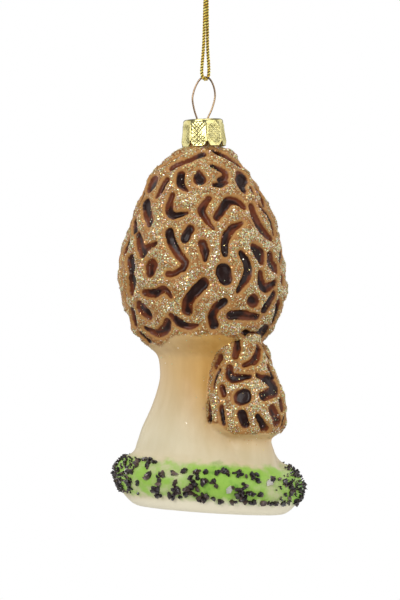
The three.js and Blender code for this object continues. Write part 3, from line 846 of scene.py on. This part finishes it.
tan_stem = blend_colour(streaks, linear("#BF8C42"), linear("#DDB064"))
stem = blend_colour(painted_value("gold"), cream, tan_stem)
stem = blend_colour(ramp(painted_value("gold"), -1.0, -0.1), linear("#F1E8CC"), stem)
foot = painted_value("foot")
moss_tone = ragged(ragged(painted_value("moss"), fine, 0.4), medium, 1.5)
green = blend_colour(ramp(moss_tone, 0.9, 1.8), linear("#C6C797"), linear("#9AC452"))
green = blend_colour(ramp(moss_tone, 1.9, 2.6), green, linear("#5F9A33"))
foot_share = ramp(ragged(foot, medium, 3.6), 0.9, 3.3)
below = blend_colour(foot_share, stem, green)
cap_share_node = ramp(ragged(painted_value("cap"), medium, 2.0), 0.6, 1.4)
colour = blend_colour(cap_share_node, below, cap_colour)
gloss_cap = add_node(
    tree, "Mix", {"Factor": pit_share, "A": 0.5, "B": 0.36}, data_type="FLOAT"
).outputs["Result"]
gloss = add_node(
    tree, "Mix", {"Factor": cap_share_node, "A": 0.42, "B": gloss_cap}, data_type="FLOAT"
).outputs["Result"]
grain = add_node(
    tree, "Bump", {"Strength": 0.25, "Distance": 0.15 * MM, "Height": speckle(0.5, 3.0)}
)
shader = add_node(
    tree,
    "BsdfPrincipled",
    {
        "Base Color": colour,
        "Roughness": gloss,
        "IOR": 1.5,
        "Specular IOR Level": 0.2,
        "Coat Weight": 0.04,
        "Coat Roughness": 0.12,
        "Normal": grain.outputs["Normal"],
    },
)
surface_out(tree, shader)

blown.shade_smooth()
blown.materials.clear()
blown.materials.append(painted)
blown.name = "blown_glass"
glass = bpy.data.objects.new("blown_glass", blown)
bpy.context.scene.collection.objects.link(glass)
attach(glass, "root")
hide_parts("glass_body")

# ---------------------------------------------------------------------------------------------
# Glitter. Small hexagonal flakes of iridescent film, sprinkled on wet glue along the ridges of
# both caps, so each lies nearly flat on the paint but tips a little its own way.
FLAKE_RADIUS = 0.15
FLAKE_THICKNESS = 0.03
FLAKE_TIP = 0.32
FLAKE_TINTS = [
    ("#FFF9E8", 0.16), ("#CBE0B0", 0.22), ("#D69B64", 0.28), ("#CDA0A4", 0.08), ("#DCC97F", 0.26),
]


def small_shape(bm):
    """The corners and faces of a small shape that is to be scattered."""
    bm.normal_update()
    bm.verts.ensure_lookup_table()
    corners = np.array([v.co for v in bm.verts])
    faces = [[v.index for v in f.verts] for f in bm.faces]
    bm.free()
    return corners, faces


def scatter(name, material, shapes, spots, outward, sizes, tips, colours):
    """Sets small shapes on the skin as one piece, each turned, sized and coloured by itself."""
    corners, faces, tints = [], [], []
    base = 0
    for n, (spot, up, size, tip, tint) in enumerate(zip(spots, outward, sizes, tips, colours)):
        shape, sides = shapes[n % len(shapes)]
        stand = Vector(up).to_track_quat("Z", "Y").to_matrix()
        lean = Matrix.Rotation(tip[0], 3, "X") @ Matrix.Rotation(tip[1], 3, "Y")
        spin = Matrix.Rotation(tip[2], 3, "Z")
        turn = np.array(stand @ lean @ spin)
        corners.append((shape * size) @ turn.T + spot)
        faces.extend([[corner + base for corner in side] for side in sides])
        tints.append(np.tile(tint, (len(shape), 1)))
        base += len(shape)
    mesh = bpy.data.meshes.new(name)
    mesh.from_pydata((np.concatenate(corners) * MM).tolist(), [], faces)
    layer = mesh.color_attributes.new("tint", "FLOAT_COLOR", "POINT")
    layer.data.foreach_set("color", np.concatenate(tints).astype(np.float32).ravel())
    mesh.materials.append(material)
    piece = bpy.data.objects.new(name, mesh)
    bpy.context.scene.collection.objects.link(piece)
    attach(piece, "root")
    return piece


bm = bmesh.new()
bmesh.ops.create_circle(bm, cap_ends=True, segments=6, radius=1.0)
cover = bmesh.ops.extrude_face_region(bm, geom=bm.faces[:])["geom"]
lifted = [g for g in cover if isinstance(g, bmesh.types.BMVert)]
bmesh.ops.translate(bm, vec=(0, 0, FLAKE_THICKNESS / FLAKE_RADIUS), verts=lifted)
bmesh.ops.recalc_face_normals(bm, faces=bm.faces)
flake = small_shape(bm)

# Iridescent polyester film: nearly a mirror, so each flake shows one plain bright tint.
film_glitter, tree = new_material("iridescent_polyester_glitter")
tint = add_node(tree, "Attribute", attribute_name="tint")
shader = add_node(
    tree,
    "BsdfPrincipled",
    {"Base Color": tint.outputs["Color"], "Metallic": 0.7, "Roughness": 0.28, "Coat Weight": 0.3},
)
surface_out(tree, shader)

skin_normals = np.empty(count * 3)
blown.vertices.foreach_get("normal", skin_normals)
skin_normals = skin_normals.reshape(-1, 3)
drifts = np.array([noise.noise(Vector(p) / 4.2 + Vector((2, 8, 5))) for p in points])
chance = smoothstep(field, 0.15, 1.1) * smoothstep(on_cap, -0.6, 3.4) * smoothstep(drifts, -0.45, 0.15)
chance += 0.012 * smoothstep(on_cap, -7, 0) * (on_cap < 0)
chance += 0.008 * (field < 0) * (on_cap > 0)
tint_names, tint_shares = zip(*FLAKE_TINTS)
tint_table = np.array([linear(t) for t in tint_names])
GLITTER = [
    ("glitter_top", large_part & (points[:, 2] > -43), 6400),
    ("glitter_middle", large_part & (points[:, 2] <= -43) & (points[:, 2] > -61), 9400),
    ("glitter_low", large_part & (points[:, 2] <= -61), 8400),
    ("glitter_small", on_small, 6000),
]
for name, part, total in GLITTER:
    odds = np.where(part, chance, 0)
    chosen = rng.choice(count, size=total, p=odds / odds.sum())
    spots = points[chosen] + rng.normal(0, 0.22, (total, 3))
    inward = ((spots - points[chosen]) * skin_normals[chosen]).sum(axis=1)
    spots += skin_normals[chosen] * (0.05 - inward)[:, None]
    tips = rng.normal(0, FLAKE_TIP, (total, 3))
    tips[:, 2] = rng.uniform(0, math.pi, total)
    sizes = FLAKE_RADIUS * rng.uniform(0.75, 1.35, total)
    colours = tint_table[rng.choice(len(tint_table), size=total, p=tint_shares)]
    scatter(
        name, film_glitter, [flake], spots, skin_normals[chosen], sizes, tips, colours
    )

# ---------------------------------------------------------------------------------------------
# Grit. Coarse crushed glass, dark brown, pressed into glue round the mossy foot: thick at the
# two ends, where shards stand out like bristles, and in loose clumps along the front and back.
GRAIN_SHAPES = 6
END_SHARDS = 520
# Clumps on the front: the place (x, z), and how many pairs of grains.
CLUMPS = [
    (-19.5, -115.9, 5), (-16.9, -115.1, 2), (-14.8, -115.3, 1), (-17.1, -116.9, 1), (-16.5, -119.4, 2),
    (-19.8, -121.6, 1), (-13.0, -119.2, 4), (-13.6, -120.8, 1), (-9.0, -118.2, 2), (-6.4, -117.5, 1),
    (-2.9, -117.1, 2), (0.3, -116.9, 1), (-0.5, -119.6, 3), (2.3, -119.8, 2), (3.5, -117.1, 1),
    (5.8, -116.6, 3), (10.0, -116.9, 3), (14.4, -117.7, 5), (19.5, -118.6, 2), (21.7, -118.4, 1),
    (24.1, -119.6, 2), (-14.4, -123.0, 4), (-13.7, -124.9, 2), (-8.6, -122.4, 4), (-10.2, -124.6, 2),
    (-7.5, -125.0, 1), (-3.9, -121.2, 7), (-4.7, -123.8, 2), (-0.9, -125.2, 4), (0.7, -124.5, 2),
    (4.3, -126.2, 3), (7.8, -127.2, 2), (11.6, -120.4, 2), (9.6, -122.4, 4), (10.8, -123.8, 4),
    (13.4, -122.6, 2), (16.1, -123.0, 1), (17.5, -125.0, 2), (19.1, -127.0, 4), (21.1, -128.1, 1),
    (13.6, -126.8, 2), (26.0, -121.6, 4), (26.8, -125.8, 2), (-22.0, -118.5, 3), (-22.5, -122.5, 3),
]
# A few beads of clear glass are among the grains, coloured pale grey as a painted glint.
PALE_GLINT_BEADS = [(7.0, -122.2), (18.9, -120.6), (-22.5, -117.5)]
GRAIN_SIZE = (0.65, 1.2)
SHARD_SIZE = (0.42, 0.72)
grain_shapes = []
for n in range(GRAIN_SHAPES):
    bm = bmesh.new()
    bmesh.ops.create_icosphere(bm, subdivisions=1, radius=1.0)
    for v in bm.verts:
        v.co *= rng.uniform(0.55, 1.3)
    bmesh.ops.scale(bm, vec=(0.75, 0.95, rng.uniform(0.8, 1.2)), verts=bm.verts)
    grain_shapes.append(small_shape(bm))

# Crushed glass: hard flat facets that are mostly dark, with a bright glint where one faces a lamp.
crushed, tree = new_material("crushed_brown_glass")
tint = add_node(tree, "Attribute", attribute_name="tint")
shader = add_node(
    tree,
    "BsdfPrincipled",
    {"Base Color": tint.outputs["Color"], "Roughness": 0.3, "IOR": 1.5, "Coat Weight": 0.2},
)
surface_out(tree, shader)

# The shards are the same grains drawn out, so that they stand up from the glue.
shard_shapes = [(corners * (0.72, 0.72, 1.45), faces) for corners, faces in grain_shapes]

green_skin = np.flatnonzero((on_foot > 0.3) & ~on_small)
spread = points[green_skin]
end_share = smoothstep(np.abs(spread[:, 0] - 1), 19.5, 25.5)
chosen = [int(v) for v in rng.choice(green_skin, size=END_SHARDS, p=end_share / end_share.sum())]
sizes = list(rng.uniform(*SHARD_SIZE, END_SHARDS))
lifts = list(rng.uniform(0.0, 0.7, END_SHARDS))
for side in (-1, 1):
    for x, z, grains in CLUMPS:
        spot, _ = large.on_skin(x if side < 0 else 2 - x, z, side)
        spot = np.array(spot) + (0, 0, FOOT_SLOPE * (spot[0] - FOOT_SLOPE_X))
        seat = spread - spot - (rng.normal(0, 1.5, 3) if side > 0 else np.zeros(3))
        for _ in range(2 * grains):
            offset = rng.normal(0, 0.25 + 0.3 * math.sqrt(grains - 1), 3)
            nearest = np.linalg.norm(seat - offset, axis=1).argmin()
            chosen.append(int(green_skin[nearest]))
            sizes.append(rng.uniform(*GRAIN_SIZE))
            lifts.append(rng.uniform(0.0, 0.5))
for x, z in PALE_GLINT_BEADS:
    spot, _ = large.on_skin(x, z, -1)
    chosen.append(int(green_skin[np.linalg.norm(spread - spot, axis=1).argmin()]))
    sizes.append(GRAIN_SIZE[1])
    lifts.append(0.4)
total = len(chosen)
# The palest of these tints, on one grain in ten, is a painted highlight; the others are the grains' own
# dark browns.
grain_tints_and_highlight = np.array([linear(t) for t in ("#1D1315", "#2B1D1D", "#43322C", "#291C22", "#66524A")])
colours = grain_tints_and_highlight[rng.choice(5, size=total, p=(0.28, 0.26, 0.2, 0.16, 0.1))]
# Painted glint: the clear beads are given a pale grey.
colours[-len(PALE_GLINT_BEADS) :] = linear("#B9B5AA")
tips = rng.normal(0, 0.6, (total, 3))
tips[:, 2] = rng.uniform(0, 2 * math.pi, total)
all_shapes = [shard_shapes[n % GRAIN_SHAPES] for n in range(END_SHARDS)]
all_shapes += [grain_shapes[n % GRAIN_SHAPES] for n in range(total - END_SHARDS)]
grit = scatter(
    "grit",
    crushed,
    all_shapes,
    points[chosen] + skin_normals[chosen] * np.array(lifts)[:, None],
    skin_normals[chosen],
    sizes,
    tips,
    colours,
)
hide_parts("grit_band")
